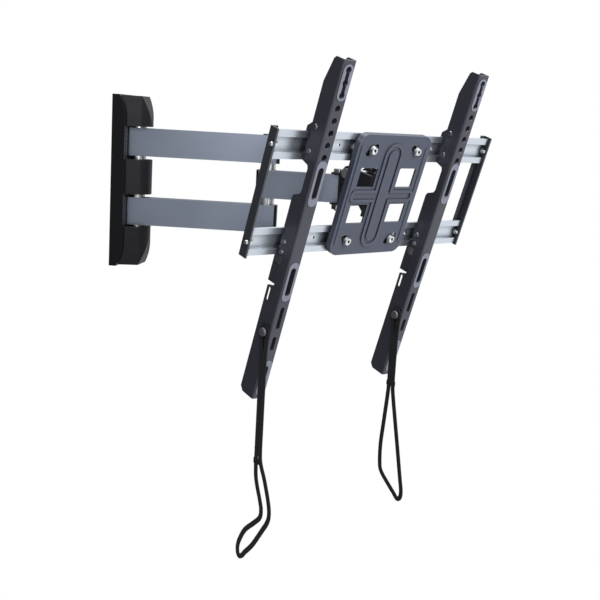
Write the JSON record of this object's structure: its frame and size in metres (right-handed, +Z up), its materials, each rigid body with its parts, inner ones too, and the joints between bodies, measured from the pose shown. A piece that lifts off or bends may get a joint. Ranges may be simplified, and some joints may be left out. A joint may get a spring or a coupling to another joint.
{
  "type": "swivel television wall mount",
  "caption": "Full motion television wall mount: swivelling folding arms, tilting head, rails with level adjustment, sliding hooked brackets with strap released latches.",
  "frame": {"origin": "on the wall behind the wall axle, level with the middle of the arms", "axes": "X along the wall, +Y into the wall, Z up; the room is on the -Y side"},
  "size_m": [0.3701, 0.5369, 0.6977],
  "materials": {
    "steel": "satin powder coat",
    "cover": "moulded, soft sheen",
    "arm": "blue grey anodised",
    "rail": "satin extruded",
    "head_steel": "black powder coat",
    "end_bar": "dark powder coat",
    "plate": "dark blue grey powder coat",
    "bracket": "dark grey powder coat",
    "latch": "dark powder coat",
    "button": "grey plastic",
    "strap": "woven webbing",
    "zinc": "zinc plated",
    "chrome": "bright plated"
  },
  "bodies": {
    "wall_unit": {"wall_plate": "steel", "cover_base": "cover", "cover_top": "cover", "cover_middle": "cover", "cover_bottom": "cover", "wall_axle": "chrome", "wall_nut": "chrome", "wall_spacers": "chrome"},
    "first_arm": {"upper_arm": "arm", "lower_arm": "arm", "first_arm_caps": "cover", "elbow_axle": "chrome", "elbow_nut": "chrome", "elbow_spacers": "chrome"},
    "second_arm": {"middle_arm": "arm", "middle_arm_caps": "cover"},
    "head": {"swivel_clevis": "head_steel", "head_bolt": "chrome", "head_nut": "chrome", "tilt_bolt": "chrome", "tilt_nut": "chrome"},
    "tilt_plate": {"tilt_bracket": "head_steel", "centre_plate": "plate"},
    "tv_frame": {"upper_rail": "rail", "lower_rail": "rail", "left_end_bar": "end_bar", "right_end_bar": "end_bar", "plate_bolts": "chrome", "plate_washers": "chrome", "plate_spacers": "zinc", "plate_nuts": "chrome", "end_screws": "chrome", "end_nuts": "chrome"},
    "left_bracket": {"left_bracket": "bracket", "left_rivets": "chrome"},
    "right_bracket": {"right_bracket": "bracket", "right_rivets": "chrome"},
    "left_latch": {"left_latch": "latch", "left_button": "button", "left_strap": "strap"},
    "right_latch": {"right_latch": "latch", "right_button": "button", "right_strap": "strap"}
  },
  "joints": [
    {"name": "wall_swivel", "type": "hinge", "parent": "wall_unit", "child": "first_arm", "pos_m": [0, -0.029, 0], "axis": [0, 0, 1], "range_deg": [-50, 50]},
    {"name": "elbow_swivel", "type": "hinge", "parent": "first_arm", "child": "second_arm", "pos_m": [0.01986, -0.21796, 0], "axis": [0, 0, 1], "range_deg": [-55, 50]},
    {"name": "head_swivel", "type": "hinge", "parent": "second_arm", "child": "head", "pos_m": [0.02349, -0.3219, 0], "axis": [0, 0, 1], "range_deg": [-20, 75]},
    {"name": "tilt", "type": "hinge", "parent": "head", "child": "tilt_plate", "pos_m": [-0.00116, -0.35212, 0.025], "axis": [0.7749, -0.632, 0], "range_deg": [-22, 3]},
    {"name": "level_turn", "type": "hinge", "parent": "tilt_plate", "child": "tv_frame", "pos_m": [-0.02408, -0.38022, 0.00003], "axis": [-0.6041, -0.7407, -0.294], "range_deg": [-3.5, 3.5]},
    {"name": "left_bracket_slide", "type": "slide", "parent": "tv_frame", "child": "left_bracket", "axis": [0.7749, -0.632, 0], "range_m": [-0.045, 0.045]},
    {"name": "right_bracket_slide", "type": "slide", "parent": "tv_frame", "child": "right_bracket", "axis": [0.7749, -0.632, 0], "range_m": [-0.028, 0.06]},
    {"name": "left_latch_pull", "type": "slide", "parent": "left_bracket", "child": "left_latch", "axis": [0.1858, 0.2279, -0.9558], "range_m": [0, 0.009], "stiffness_N_per_m": 400, "springref_m": -0.006},
    {"name": "right_latch_pull", "type": "slide", "parent": "right_bracket", "child": "right_latch", "axis": [0.1858, 0.2279, -0.9558], "range_m": [0, 0.009], "stiffness_N_per_m": 400, "springref_m": -0.006}
  ]
}
